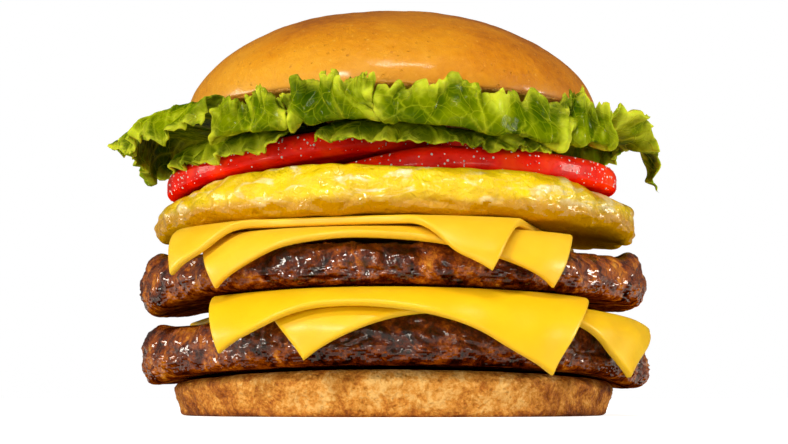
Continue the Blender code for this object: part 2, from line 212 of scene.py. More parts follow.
# Each leaf: name, the headings of its two sides from the front, the path of each side as
# four (radius, height) control points, edge wave, number of waves, and seed. Where a path
# ends high the leaf turns up against the top bun, and where it ends low it hangs down.
Leaf = namedtuple("Leaf", "name left right left_path right_path wave waves seed")
LEAVES = (
    Leaf("lettuce_left", -82.5, -42.0, ((18, 66.0), (56, 65.4), (58, 75.0), (66.0, 59.0)),
         ((18, 66.0), (56, 65.4), (58, 75.0), (65.0, 59.0)), 1.3, 2.5, 1),
    Leaf("lettuce_left_front", -42.0, -23.5, ((18, 67.4), (62, 68.0), (61, 48.0), (58.0, 70.0)),
         ((18, 67.4), (62, 68.0), (60, 49.0), (57.0, 71.5)), 0.9, 1.5, 2),
    Leaf("lettuce_front_frill", -23.5, -3.0, ((18, 67.4), (62, 68.0), (60, 49.0), (56.5, 72.5)),
         ((18, 67.4), (62, 68.0), (60, 50.0), (56.5, 74.0)), 1.1, 2.5, 3),
    Leaf("lettuce_front_broad", -3.0, 36.5, ((18, 67.4), (62, 68.0), (60, 50.0), (57.0, 72.0)),
         ((18, 67.2), (62, 68.0), (62, 42.0), (57.0, 71.5)), 1.0, 2.5, 4),
    Leaf("lettuce_front_lower", -18.0, 14.0, ((18, 64.8), (44, 64.8), (53, 61.5), (52.5, 57.0)),
         ((18, 65.0), (44, 64.4), (53, 61.0), (52.5, 56.0)), 0.4, 2.0, 5),
    Leaf("lettuce_left_lower", -70.0, -27.0, ((18, 64.4), (47, 62.0), (52, 65.0), (55.5, 53.5)),
         ((18, 64.4), (46, 62.4), (52, 63.0), (53.0, 55.5)), 0.5, 2.5, 6),
    Leaf("lettuce_right_lower", 15.0, 36.0, ((34, 62.5), (42, 61.5), (50, 61.5), (51.0, 55.5)),
         ((34, 62.0), (44, 60.0), (55, 60.5), (56.0, 55.8)), 0.4, 2.0, 13),
    Leaf("lettuce_right", 36.5, 52.5, ((18, 67.2), (62, 68.0), (62, 43.0), (57.0, 73.0)),
         ((18, 67.0), (62, 68.0), (62, 47.0), (58.5, 71.0)), 1.0, 1.5, 7),
    Leaf("lettuce_right_fan", 59.0, 98.0, ((18, 66.6), (52, 65.0), (52, 59.0), (61.0, 70.5)),
         ((18, 66.6), (57, 65.2), (62, 72.0), (64.2, 51.0)), 1.3, 2.5, 8),
    Leaf("lettuce_rear_right", 98.0, 142.0, ((18, 66.0), (57, 61.0), (54, 78.0), (55.5, 61.0)),
         ((18, 66.0), (60, 61.0), (56, 79.0), (59.0, 57.0)), 1.1, 3.0, 9),
    Leaf("lettuce_rear", 142.0, 184.0, ((18, 67.0), (62, 68.0), (62, 44.0), (57.0, 72.0)),
         ((18, 67.0), (62, 68.0), (62, 46.0), (57.0, 73.0)), 1.2, 3.0, 10),
    Leaf("lettuce_rear_left", 184.0, 224.0, ((18, 66.0), (60, 61.0), (56, 78.0), (58.5, 57.0)),
         ((18, 66.0), (60, 61.0), (56, 78.0), (58.5, 57.0)), 1.1, 2.5, 11),
    Leaf("lettuce_left_rear", 224.0, 277.5, ((18, 66.6), (58, 63.0), (58, 79.0), (62.5, 57.0)),
         ((18, 66.6), (58, 63.0), (58, 79.0), (62.5, 57.0)), 1.3, 3.5, 12),
)

# The photograph's frame, lens and horizon in pixels, and the camera: its turn to the left in
# pixels, its sensor, its distance in front of the axis and its height over the table.
FRAME_WIDTH = 788
FRAME_HEIGHT = 444
FOCAL_PIXELS = 1834
HORIZON_ROW = 398
CAMERA_TURN = 1
SENSOR_WIDTH = 36.0
CAMERA_BACK = 430.0
CAMERA_UP = 4.0

# The tint of all the light, how strongly the surroundings light the burger, how strongly the
# floor glows, which the camera alone sees, and how far the floor reaches in metres.
WARM = (1.0, 0.94, 0.82)
SURROUNDINGS = 0.09
FLOOR_GLOW = 0.8
FLOOR_REACH = 12.0

# The sun: the direction that it comes from, its strength, and its softness in degrees.
KEY_FROM = (-0.45, -0.82, 0.56)
KEY_STRENGTH = 1.62
KEY_SOFTNESS = 7.0

# Soft boxes of light: place, the point that each is aimed at, and its width and height, all
# in metres, and its power in watts.
LIGHT_BOXES = {
    "front_box": ((0.06, -0.46, 0.70), (0, 0, 0.06), (0.30, 0.07), 3.0),
    "low_box": ((0.10, -0.80, 0.10), (0, 0, 0.05), (0.36, 0.08), 0.9),
    "low_left_box": ((-0.32, -0.50, 0.04), (-0.03, 0, 0.06), (0.10, 0.06), 0.7),
    "left_box": ((-0.60, -0.02, 0.16), (0, 0, 0.04), (0.20, 0.10), 1.3),
    "right_box": ((0.60, -0.08, 0.16), (0, 0, 0.04), (0.20, 0.10), 2.0),
}

# Linear colours. Where there are stops, each is a place on the scale of a pattern and the
# colour there.
WHITE = (1.0, 1.0, 1.0)
TOASTED_CRUMB = ((0.22, (0.20, 0.045, 0.004)), (0.38, (0.45, 0.14, 0.012)),
                 (0.52, (0.72, 0.31, 0.045)), (0.66, (0.88, 0.52, 0.16)))
MEAT_BROWNS = ((0.39, (0.008, 0.0008, 0.0001)), (0.47, (0.085, 0.010, 0.0002)),
               (0.54, (0.26, 0.052, 0.001)), (0.60, (0.48, 0.145, 0.005)),
               (0.68, (0.72, 0.35, 0.04)))
DEEP_CHEESE = ((0.35, (0.79, 0.46, 0.002)), (0.62, (0.82, 0.51, 0.004)))
PALE_CHEESE = ((0.35, (0.79, 0.46, 0.010)), (0.62, (0.80, 0.50, 0.022)))
EGG_YELLOWS = ((0.35, (0.74, 0.49, 0.001)), (0.65, (0.80, 0.60, 0.002)))
EGG_PALES = ((0.30, (0.74, 0.54, 0.11)), (0.70, (0.90, 0.80, 0.48)))
EGG_BROWNED = (0.52, 0.26, 0.001)
TOMATO_REDS = ((0.30, (0.58, 0.003, 0.0001)), (0.52, (0.90, 0.013, 0.0003)),
               (0.74, (0.97, 0.060, 0.001)))
# The white of the beads is a painted glint.
BEAD_GLINT_WHITES = ((0.3, (0.97, 0.98, 1.0)), (0.7, WHITE))
LEAF_GREENS = ((0.34, (0.020, 0.055, 0.0001)), (0.46, (0.058, 0.102, 0.0002)),
               (0.57, (0.16, 0.21, 0.0005)), (0.69, (0.50, 0.57, 0.03)))
LEAF_VEIN = (0.46, 0.52, 0.014)
LEAF_RIM = (0.58, 0.62, 0.035)
CRUST_GOLDS = ((0.26, (0.36, 0.10, 0.001)), (0.38, (0.53, 0.18, 0.002)),
               (0.50, (0.62, 0.245, 0.004)), (0.66, (0.68, 0.31, 0.015)))
CRUST_FRECKLE = (0.40, 0.13, 0.008)
CRUST_FLECK = (0.86, 0.50, 0.09)
# Painted shade for the lip where the top bun's crust curls under.
CRUST_LIP_SHADE = (0.30, 0.09, 0.006)
FLOOR_WHITES = ((0.3, (0.74, 0.74, 0.74)), (0.7, (0.76, 0.76, 0.76)))


def smooth(low, high, value):
    """Soft step from 0 at low to 1 at high."""
    share = min(1.0, max(0.0, (value - low) / (high - low)))
    return share * share * (3.0 - 2.0 * share)


def relief(x, y, z, size, amount):
    """Soft lumps of the given size and height, the same on every run."""
    return amount * noise.noise(Vector((x, y, z)) / size)


def cells(x, y, z, size, amount):
    """Rounded lumps parted by creases, like coarse crumbs pressed together."""
    near = noise.voronoi(Vector((x, y, z)) / size)[0]
    return amount * min(1.0, near[1] - near[0])


def settled(x, y, z):
    """A point after the stack has bowed down at its left and right ends, in metres."""
    sag = SAG_LOW * min(1.0, max(0.0, z / HEEL_TOP))
    sag -= (SAG_LOW - SAG_HIGH) * smooth(UPPER_PATTY_BOTTOM, EGG_BOTTOM, z)
    sag -= SAG_HIGH * smooth(CROWN_BOTTOM, CROWN_TOP, z)
    return Vector((x + AXIS_X, y + AXIS_Y, z - sag * (x / SAG_REACH) ** 2)) * MM


# Building meshes.

def add_object(name, data):
    """A new object in the scene."""
    thing = bpy.data.objects.new(name, data)
    bpy.context.scene.collection.objects.link(thing)
    return thing


def add_piece(name, vertices, faces, material, nodes, uvs=None, marks=None):
    """A smooth mesh object that rides on the burger and stands for its solids.

    Marks are named numbers for each vertex, which the material reads.
    """
    mesh = bpy.data.meshes.new(name)
    mesh.from_pydata(vertices, [], faces)
    mesh.polygons.foreach_set("use_smooth", [True] * len(mesh.polygons))
    mesh.materials.append(material)
    if uvs is not None:
        layer = mesh.uv_layers.new(name="flat")
        corners = np.empty(len(mesh.loops), dtype=np.int32)
        mesh.loops.foreach_get("vertex_index", corners)
        layer.data.foreach_set("uv", np.asarray(uvs, dtype=np.float32)[corners].ravel())
    for mark, values in (marks or {}).items():
        attribute = mesh.attributes.new(mark, "FLOAT", "POINT")
        attribute.data.foreach_set("value", np.asarray(values, dtype=np.float32))
    mesh.update()
    piece = add_object(name, mesh)
    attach(piece, "root")
    if nodes:
        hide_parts(*nodes)
    return piece


def turned(name, rings, segments, shape, material, under=None):
    """A closed round piece from its profile rings, top middle first, each point shaped.

    The faces that look down can have a material of their own.
    """
    vertices = [settled(*shape(0.0, 0.0, rings[0][1]))]
    for radius, height in rings:
        for j in range(segments):
            angle = 2 * math.pi * j / segments
            vertices.append(settled(*shape(angle, radius, height)))
    vertices.append(settled(*shape(0.0, 0.0, rings[-1][1])))
    last = len(vertices) - 1
    faces = []
    for j in range(segments):
        after = (j + 1) % segments
        faces.append((0, 1 + j, 1 + after))
        foot = 1 + (len(rings) - 1) * segments
        faces.append((last, foot + after, foot + j))
        for i in range(len(rings) - 1):
            row = 1 + i * segments
            faces.append((row + j, row + segments + j, row + segments + after, row + after))
    piece = add_piece(name, vertices, faces, material, [name])
    if under:
        piece.data.materials.append(under)
        first_below = UNDERSIDE_FROM * len(rings) * segments
        for face in piece.data.polygons:
            below = min(face.vertices) > first_below and face.normal.z < LOOKS_DOWN
            face.material_index = int(below)
    return piece


def grid_normals(middle):
    """Unit normals of a grid of points."""
    along = np.gradient(middle, axis=0)
    across = np.gradient(middle, axis=1)
    normal = np.cross(across, along)
    return normal / np.maximum(np.linalg.norm(normal, axis=2, keepdims=True), 1e-12)


def sheet(name, middle, half, flat, material, nodes, marks=None):
    """A thin closed sheet around a grid of middle points, with half its thickness at each.

    The thickness is nothing along the border, where the two faces meet.
    """
    rows, columns = half.shape
    normal = grid_normals(middle)
    upper = middle + normal * half[:, :, None]
    lower = middle - normal * half[:, :, None]
    up = np.arange(rows * columns).reshape(rows, columns)
    low = up + rows * columns
    border = np.ones((rows, columns), dtype=bool)
    border[1:-1, 1:-1] = False
    low[border] = up[border]
    faces = []
    for i in range(rows - 1):
        for j in range(columns - 1):
            after, below = j + 1, i + 1
            faces.append((up[i, j], up[i, after], up[below, after], up[below, j]))
            faces.append((low[i, j], low[below, j], low[below, after], low[i, after]))
    vertices = np.concatenate([upper.reshape(-1, 3), lower.reshape(-1, 3)])
    used, faces = np.unique(np.array(faces), return_inverse=True)
    faces = faces.reshape(-1, 4).tolist()
    uvs = np.concatenate([flat.reshape(-1, 2), flat.reshape(-1, 2)])[used]
    values = {mark: np.tile(grid.ravel(), 2)[used] for mark, grid in (marks or {}).items()}
    return add_piece(name, vertices[used].tolist(), faces, material, nodes, uvs, values)


def edge_steps(count, edge):
    """Positions from -1 to 1 in even steps, with close ones within edge of both ends."""
    inner = 1 - edge
    even = [inner * (2 * i / count - 1) for i in range(count + 1)]
    close = [1 - edge * (1 - share) for share in (0.4, 0.7, 0.88, 0.97, 1.0)]
    return [-value for value in reversed(close)] + even + close


def edge_round(distance, width):
    """Share of the thickness at a distance from the border: a rounded edge."""
    share = np.clip(distance / width, 0.0, 1.0)
    return (1 - (1 - share) ** 2.6) ** (1 / 2.6)


def disc_rings(radius, top, bottom, rounds, taper, steps):
    """Profile of a flat round piece as (radius, height), from its top middle round to below.

    Steps are the numbers of rings on the top face, each rounding, the side and the underside.
    """
    round_top, round_bottom = rounds
    top_steps, arc_steps, side_steps, bottom_steps = steps
    foot = radius - taper
    rings = [((radius - round_top) * i / top_steps, top) for i in range(1, top_steps + 1)]
    for i in range(1, arc_steps + 1):
        turn = math.radians(90) * i / arc_steps
        across = radius - round_top * (1 - math.sin(turn))
        rings.append((across, top - round_top * (1 - math.cos(turn))))
    for i in range(1, side_steps + 1):
        share = i / side_steps
        height = (top - round_top) * (1 - share) + (bottom + round_bottom) * share
        rings.append((radius - taper * share, height))
    for i in range(1, arc_steps + 1):
        turn = math.radians(90) * i / arc_steps
        across = foot - round_bottom * (1 - math.cos(turn))
        rings.append((across, bottom + round_bottom * (1 - math.sin(turn))))
    for i in range(bottom_steps - 1, 0, -1):
        rings.append(((foot - round_bottom) * i / bottom_steps, bottom))
    return rings


# Shapes of the pieces.

def heel_shape(angle, radius, height):
    """The bottom bun: slightly out of round, flat below, with a coarse crumb."""
    share = radius / HEEL_RADIUS
    across = math.cos(angle)
    away = math.sin(angle)
    wide = radius + share * relief(across * 40, away * 40, 3.0, 24.0, 1.2)
    lift = relief(across * radius, away * radius, 8.0, 18.0, 0.35) * smooth(0.0, HEEL_TOP, height)
    side = smooth(0.9, 1.0, share)
    crumb = relief(across * 50, away * 50, height * 1.2, 3.4, 0.55)
    crumb += relief(across * 50, away * 50, height * 1.2 + 9, 1.3, 0.28)
    pore = max(0.0, relief(across * 50, away * 50, height + 30, 1.2, 0.8) - 0.2)
    wide += side * (crumb - pore)
    return wide * across, wide * away, height - abs(lift)


class Patty:
    """One meat patty: its own heights, and how far its ends swell up and down."""

    def __init__(self, top, bottom, end_rise, end_drop, seed):
        self.top = top
        self.bottom = bottom
        self.end_rise = end_rise
        self.end_drop = end_drop
        self.seed = seed

    def end(self, angle, amounts, spread):
        """Swelling at the left and right ends, for the pair (left, right)."""
        across = math.cos(angle)
        left, right = amounts
        return (left if across < 0 else right) * smooth(spread, 0.99, abs(across))

    def rim(self, angle):
        """Radius of the rim, which is out of round."""
        return PATTY_RADIUS + relief(math.cos(angle) * 30, math.sin(angle) * 30, self.seed, 17.0, 1.6)

    def top_at(self, angle, radius):
        """Height of the top face."""
        return self.top + self.end(angle, self.end_rise, 0.955) * smooth(*PATTY_RISE_REACH, radius)

    def bottom_at(self, angle, radius):
        """Height of the underside."""
        return self.bottom - self.end(angle, self.end_drop, 0.8) * smooth(*PATTY_DROP_REACH, radius)

    def lumps(self, angle, radius, height):
        """Coarse lumps of minced meat on the side."""
        across = math.cos(angle) * PATTY_RADIUS
        away = math.sin(angle) * PATTY_RADIUS
        lump = relief(across, away, height * 1.3 + self.seed * 9, 9.0, 1.0)
        return lump * smooth(*PATTY_LUMPS_REACH, radius)

    def mince(self, angle, radius, height):
        """Fine relief of the mince: flattish lumps with creases between them.

        It is nowhere proud of the form where cheese lies on it.
        """
        across = math.cos(angle) * PATTY_RADIUS
        away = math.sin(angle) * PATTY_RADIUS
        level = height * 1.5 + self.seed * 31
        bend = relief(across, away, level, 5.0, 3.0)
        lump = cells(across * 0.7 + bend, away * 0.7, level - bend, 5.0, 1.3)
        small = cells(across + bend * 2, away - bend, level, 1.9, 0.85)
        swell = relief(across * 0.6, away * 0.6, level * 0.7, 4.2, 0.9)
        grain = relief(across, away, level, 0.9, 0.3)
        sunk = 2.0 - 1.2 * smooth(0.86, 0.96, abs(math.cos(angle)))
        return (lump + small + swell + grain - sunk) * smooth(*PATTY_MINCE_REACH, radius)

    def shape(self, angle, radius, height):
        """A profile point with the rim, the ends, the lumps and the mince put in."""
        wide = radius * self.rim(angle) / PATTY_RADIUS
        share = (height - self.bottom) / (self.top - self.bottom)
        level = self.top_at(angle, wide) * share + self.bottom_at(angle, wide) * (1 - share)
        wide += self.lumps(angle, wide, height)
        mince = self.mince(angle, wide, height)
        upwards = (2 * share - 1) ** 3
        wide += mince * (1 - 0.5 * abs(upwards))
        level += min(0.0, mince) * upwards * (0.6 if upwards > 0 else 0.15)
        return wide * math.cos(angle), wide * math.sin(angle), level

    def drape(self, x, y, lift):
        """Where a point of a flat sheet comes to lie, lift above the top face."""
        radius = math.hypot(x, y)
        angle = math.atan2(y, x)
        corner = self.rim(angle) - PATTY_ROUND_TOP + CHEESE_BEND_CLEAR + 0.55 * lift
        level = self.top_at(angle, min(radius, corner))
        if radius <= corner:
            return x, y, level + lift
        turn = PATTY_ROUND_TOP + lift
        bend = min((radius - corner) / turn, math.radians(CHEESE_STEEPEST))
        fall = radius - corner - turn * bend
        out = corner + turn * math.sin(bend) + fall * math.cos(bend)
        down = level - PATTY_ROUND_TOP + turn * math.cos(bend) - fall * math.sin(bend)
        out += self.lumps(angle, out, down) * smooth(corner, corner + CHEESE_BEND_BLEND, radius)
        return out * math.cos(angle), out * math.sin(angle), down


def cheese_sheet(name, patty, lift, material):
    """A slice laid flat over the patty, turned to its two front corners and draped."""
    corners, hollow, flare = CHEESE_SLICES[name]
    left, right = Vector(corners[0]), Vector(corners[1])
    width = (right - left).length
    along = (right - left) / width
    back = Vector((-along.y, along.x))
    centre = (left + right) / 2 + back * CHEESE_DEPTH / 2
    steps = edge_steps(CHEESE_STEPS, CHEESE_EDGE)
    middle = np.zeros((len(steps), len(steps), 3))
    half = np.zeros((len(steps), len(steps)))
    flat = np.zeros((len(steps), len(steps), 2))
    for i, down in enumerate(steps):
        for j, over in enumerate(steps):
            side = over * width / 2
            depth = down * CHEESE_DEPTH / 2
            pinch = smooth(0.6, 1.0, abs(over)) * smooth(0.6, 1.0, abs(down))
            inwards = 1 - pinch * CHEESE_CORNER
            from_front = CHEESE_DEPTH / 2 + depth
            drawn = hollow * (1 - smooth(0.35, 0.8, abs(over))) * (1 - from_front / CHEESE_DEPTH)
            run_out = flare * min(from_front, CHEESE_FLARE_REACH) * (1 + over) / 2
            point = centre + along * (side * inwards + run_out) + back * (depth * inwards + drawn)
            middle[i, j] = settled(*patty.drape(point.x, point.y, lift + CHEESE_THICK / 2))
            to_side = (1 - abs(over)) * width / 2
            to_end = (1 - abs(down)) * CHEESE_DEPTH / 2
            rounded = min(edge_round(to_side, CHEESE_ROUND), edge_round(to_end, CHEESE_ROUND))
            half[i, j] = rounded * CHEESE_THICK / 2 * MM
            flat[i, j] = (point.x / 100, point.y / 100)
    return sheet(name, middle, half, flat, material, [name])


def egg_shape(angle, radius, height):
    """The folded egg patty: dished on top, wrinkled at the ends, lumpy below."""
    across = math.cos(angle)
    away = math.sin(angle)
    share = radius / EGG_RADIUS
    top_share = (height - EGG_BOTTOM) / (EGG_TOP - EGG_BOTTOM)
    side = smooth(0.86, 1.0, share)
    wide = radius + share * relief(across * 34, away * 34, 6.0, 15.0, 1.4)
    wrinkle = relief(across * 60, away * 60, height * 0.35, 5.0, 0.9)
    wide += side * wrinkle * smooth(0.5, 0.95, abs(across))
    dish = EGG_DISH * (1 - smooth(*EGG_DISH_REACH, radius)) + EGG_FALL * share ** 4
    if away < 0:
        crest = math.exp(-((across * radius - EGG_CREST_MIDDLE) / EGG_CREST_WIDTH) ** 2)
        lip = EGG_LIP * (1 - smooth(*EGG_LIP_ENDS, abs(across) * radius)) + EGG_CREST * crest
        dish -= lip * smooth(*EGG_LIP_REACH, radius)
    lumps = side * (1 - top_share) * relief(across * 50, away * 50, 1.0, 8.0, 1.1)
    lumps -= EGG_END_DROP * smooth(0.9, 0.98, abs(across)) * side * (1 - top_share)
    fold = cells(across * 50, away * 50, height * 1.6, 7.0, 1.2) - 0.6
    fold += relief(across * 52, away * 52, height, 3.0, 0.55)
    fold += relief(across * 52, away * 52, height, 1.3, 0.22)
    pleat = relief(across * 56, away * 56, height * 0.25, 2.2, 1.1) * smooth(0.66, 0.98, abs(across))
    wide += side * (fold + pleat)
    lumps += side * top_share * min(0.0, relief(across * 50, away * 50, 9.0, 4.0, 0.8) + fold * 0.3)
    return wide * across, wide * away, height - dish * top_share + lumps


def droop(x, y):
    """How far a tomato slice gives way over the rim of the egg."""
    return TOMATO_DROOP * min(1.0, math.hypot(x, y) / TOMATO_DROOP_REACH) ** 4


def left_tomato_shape(angle, radius, height):
    """The slice that rises onto the other one."""
    uneven = relief(math.cos(angle) * 20, math.sin(angle) * 20, 4.0, 14.0, 0.7)
    wide = radius + uneven * radius / LEFT_TOMATO_RADIUS
    x = LEFT_TOMATO_MIDDLE[0] + wide * math.cos(angle)
    y = LEFT_TOMATO_MIDDLE[1] + wide * math.sin(angle)
    bed = LEFT_TOMATO_BED + LEFT_TOMATO_SLOPE * (x - 0.016 * max(0.0, x) ** 2)
    pressed = TOMATO_PRESSED * smooth(-10.0, 8.0, x) * height / TOMATO_THICK
    return x, y, bed + height - pressed - droop(x, y)


def right_tomato_shape(angle, radius, height):
    """The slice that lies on the egg, its left part bent down under the other one."""
    uneven = relief(math.cos(angle) * 20, math.sin(angle) * 20, 9.0, 14.0, 0.6)
    wide = radius + uneven * radius / RIGHT_TOMATO_RADIUS
    x = RIGHT_TOMATO_MIDDLE[0] + wide * math.cos(angle)
    y = RIGHT_TOMATO_MIDDLE[1] + wide * math.sin(angle)
    bend, softness = RIGHT_TOMATO_BEND
    bed = RIGHT_TOMATO_BED - RIGHT_TOMATO_SLOPE * (bend - x + math.hypot(bend - x, softness)) / 2
    pressed = TOMATO_PRESSED * (1 - smooth(-4.0, 10.0, x)) * height / TOMATO_THICK
    return x, y, bed + height - pressed - droop(x, y)


def crown_rings(counts):
    """Profile of the top bun: a dome, a tight curl at its edge, and a flat cut face."""
    dome_steps, arc_steps, face_rings = counts
    rings = []
    for i in range(1, dome_steps + 1):
        turn = math.radians(90) * i / dome_steps
        across = math.sin(turn) ** (2 / CROWN_POWER)
        above = math.cos(turn) ** (2 / CROWN_POWER) if i < dome_steps else 0.0
        rings.append((CROWN_RADIUS * across, CROWN_WIDEST + (CROWN_TOP - CROWN_WIDEST) * above))
    for i in range(1, arc_steps + 1):
        turn = math.radians(90) * i / arc_steps
        rings.append((CROWN_RADIUS - CROWN_ROUND * (1 - math.cos(turn)),
                      CROWN_WIDEST - (CROWN_WIDEST - CROWN_BOTTOM) * math.sin(turn)))
    for i in range(face_rings - 1, 0, -1):
        rings.append(((CROWN_RADIUS - CROWN_ROUND) * i / face_rings, CROWN_BOTTOM))
    return rings


def crown_shape(angle, radius, height):
    """The top bun: a little lumpy, and fuller on its left."""
    across = math.cos(angle)
    away = math.sin(angle)
    share = radius / CROWN_RADIUS
    above = smooth(CROWN_BOTTOM, CROWN_TOP, height)
    wide = radius + share * relief(across * 36, away * 36, 2.0, 26.0, 0.9)
    lift = relief(across * radius, away * radius, 5.0, 24.0, 0.8) * above
    wide *= 1 - CROWN_LEAN * max(0.0, across)
    skin = relief(across * radius, away * radius, height, 4.5, 0.14)
    skin += relief(across * radius, away * radius, height, 1.7, 0.06)
    wide += skin * share
    lift += skin * above
    return wide * across, wide * away, height + lift


def on_path(path, share):
    """A point on the curve of four control points, as radius and height."""
    rest = 1 - share
    weights = (rest ** 3, 3 * rest ** 2 * share, 3 * rest * share ** 2, share ** 3)
    return [sum(weight * point[i] for weight, point in zip(weights, path)) for i in range(2)]


def seam(heading, along):
    """Heading of the wavy line that two neighbouring leaves share, in degrees."""
    return heading + LEAF_SEAM_WAVE * math.sin(6.0 * along + math.radians(heading) * 5)


def between(first, second, share):
    """The control points a share of the way from one path to another."""
    return [[a + (b - a) * share for a, b in zip(*pair)] for pair in zip(first, second)]


def leaf_point(leaf, across, along):
    """A point of a leaf: across runs from -1 to 1 over its width, along from 0 to 1 to its tip."""
    name, left, right, left_path, right_path, wave, waves, seed = leaf
    side = (across + 1) / 2
    path = between(left_path, right_path, side ** LEAF_TURNS_LATE.get(name, 1.0))
    inner = 1 - across * across
    rounded = 0.94 + 0.06 * inner - 0.04 * inner * math.sin(across * waves * 1.6 + seed) ** 2
    rounded = 1 - (1 - rounded) * smooth(0.3, 1.0, along)
    share = along ** 0.75 * rounded
    radius, height = on_path(path, share)
    ahead = on_path(path, min(1.0, share + 0.02))
    behind = on_path(path, max(0.0, share - 0.02))
    run = Vector((ahead[0] - behind[0], ahead[1] - behind[1])).normalized()
    ripple = wave * math.sin(across * waves * math.pi + seed)
    ripple += relief(across * 9, along * 9, seed * 7.0, 4.0, 0.5)
    ripple *= smooth(0.35, 1.0, share) * (1 - 0.7 * smooth(0.6, 1.0, abs(across)))
    radius -= run.y * ripple
    height += run.x * ripple
    turn = (seam(left, along) - LEAF_OVERLAP) * (1 - side) + (seam(right, along) + LEAF_OVERLAP) * side
    turn = math.radians(turn)
    return radius * math.sin(turn), -radius * math.cos(turn), height


def lengths(points, axis):
    """Distance run along a grid of points in one direction, in millimetres."""
    steps = np.linalg.norm(np.diff(points, axis=axis), axis=2) / MM
    start = np.zeros_like(np.take(steps, [0], axis=axis))
    return np.cumsum(np.concatenate([start, steps], axis=axis), axis=axis)


def veins(side, ahead, seed):
    """How strongly a vein shows at a place of the leaf, from 0 to 1.

    The place is the distance to the side of the rib and from the stem, in millimetres.
    """
    rib_bend = 2.2 * np.sin(ahead / 9.0 + seed)
    side = side - rib_bend
    rib_width = 1.3 * np.clip(1.15 - ahead / 60.0, 0.25, 1.0)
    rib = np.exp(-(side / rib_width) ** 2)
    slant = ahead - 0.75 * np.abs(side) ** 1.08 + 3.0 * np.sign(side)
    slant += 1.1 * np.sin(np.abs(side) / 3.1 + seed)
    spacing = 7.5
    beat = np.abs((slant / spacing + 0.5) % 1.0 - 0.5) * spacing
    branch = np.exp(-(beat / 0.42) ** 2) * np.clip(1.0 - np.abs(side) / 26.0, 0.0, 1.0)
    return np.clip(rib + 0.75 * branch, 0.0, 1.0)


def torn(leaf, across, along):
    """A place on a leaf, drawn in where the tip is torn or the side is notched."""
    tear = relief(across * 40, leaf.seed * 9.0, 0.0, 5.0, LEAF_TEAR)
    tear += relief(across * 40, leaf.seed * 5.0, 3.0, 2.2, LEAF_TEAR / 2)
    along = along * (1 - max(0.0, tear + LEAF_TEAR / 2) * smooth(0.5, 1.0, along))
    notch = relief(along * 40, leaf.seed * 7.0, math.copysign(5.0, across), 3.5, LEAF_NOTCH)
    notch = max(0.0, notch + LEAF_NOTCH / 2)
    across = across * (1 - notch * smooth(0.5, 1.0, abs(across)) * smooth(0.3, 0.8, along))
    return across, along


def leaf_grid(leaf):
    """The middle points of a leaf in rows from its stem to its tip, without the fine relief."""
    middle = np.zeros((LEAF_ROWS, LEAF_COLUMNS, 3))
    for i in range(LEAF_ROWS):
        for j in range(LEAF_COLUMNS):
            across = 2 * j / (LEAF_COLUMNS - 1) - 1
            along = i / (LEAF_ROWS - 1)
            middle[i, j] = settled(*leaf_point(leaf, *torn(leaf, across, along)))
    return middle


def leaf_piece(leaf, material):
    """One lettuce leaf: a thin sheet with veins, a torn outline and a ruffled free edge."""
    middle = leaf_grid(leaf)
    over = lengths(middle, 1)
    ahead = lengths(middle, 0)
    to_side = np.minimum(over, over[:, -1:] - over)
    to_tip = ahead[-1:, :] - ahead
    side = over - over[:, -1:] / 2
    loose = np.clip((ahead - LEAF_HELD) / LEAF_LOOSENS, 0.0, 1.0)
    free = np.minimum(to_side + 60 * (1 - loose), to_tip)
    fringe = np.clip(1 - free / LEAF_RUFFLE_WIDTH, 0.0, 1.0)
    places = middle.tolist()
    drift = np.array([[noise.noise(Vector(place) / (9 * MM)) for place in row] for row in places])
    beat = np.arctan2(side, ahead + 6.0) * 38.0 + drift * 5.0 + leaf.seed
    ruffle = LEAF_RUFFLE * fringe ** 1.6 * np.sin(beat)
    ruffle += 0.45 * LEAF_RUFFLE * fringe ** 3 * np.sin(beat * 2.3 + drift * 4.0)
    blister = drift * 1.1 * loose
    blister += 0.35 * np.sin(side / 1.9 + drift * 6) * np.sin(ahead / 2.3 + leaf.seed) * loose
    vein = veins(side, ahead, leaf.seed)
    lift = ruffle + blister * (1 - fringe) - 0.45 * vein * loose
    middle += grid_normals(middle) * (lift * MM)[:, :, None]
    half = (LEAF_HALF + VEIN_HALF * vein) * MM
    half[0, :] = half[-1, :] = half[:, 0] = half[:, -1] = 0.0
    flat = np.stack([side / 100 + 0.5, ahead / 100], axis=2)
    # The swell mark, the height of the ruffles and blisters, is read by the material as painted light
    # on the fold tops and painted shade in the hollows.
    marks = {"vein": vein, "rim": np.clip(1 - free / LEAF_RIM_WIDTH, 0.0, 1.0),
             "swell": np.clip(0.5 + 0.45 * (ruffle + blister), 0.0, 1.0)}
    return sheet(leaf.name, middle, half, flat, material, [leaf.name], marks)


def water_beads(hosts, material):
    """Beads of water on the sides of the hosts, as one mesh of flattened half-sunk balls."""
    draw = random.Random(BEAD_SEED)
    ball = bmesh.new()
    bmesh.ops.create_icosphere(ball, subdivisions=2, radius=1.0)
    points = [vertex.co.copy() for vertex in ball.verts]
    corners = [tuple(vertex.index for vertex in face.verts) for face in ball.faces]
    ball.free()
    skin = [face for host in hosts for face in host.data.polygons]
    places = [face for face in skin if abs(face.normal.z) < BEAD_FACING]
    vertices = []
    faces = []
    while len(vertices) < BEAD_COUNT * len(points):
        face = draw.choice(places)
        if noise.noise(face.center / (BEAD_PATCH * MM)) < draw.uniform(-0.5, 0.3):
            continue
        size = BEAD_RADIUS * draw.uniform(0.35, 1.0) ** 2
        turn = face.normal.to_track_quat("Z", "Y").to_matrix()
        first = len(vertices)
        for point in points:
            bead = Vector((point.x, point.y, point.z * BEAD_FLAT)) * size * MM
            vertices.append(face.center + turn @ bead)
        faces.extend(tuple(first + i for i in corner) for corner in corners)
    return add_piece("water_beads", vertices, faces, material, [])


# Materials.

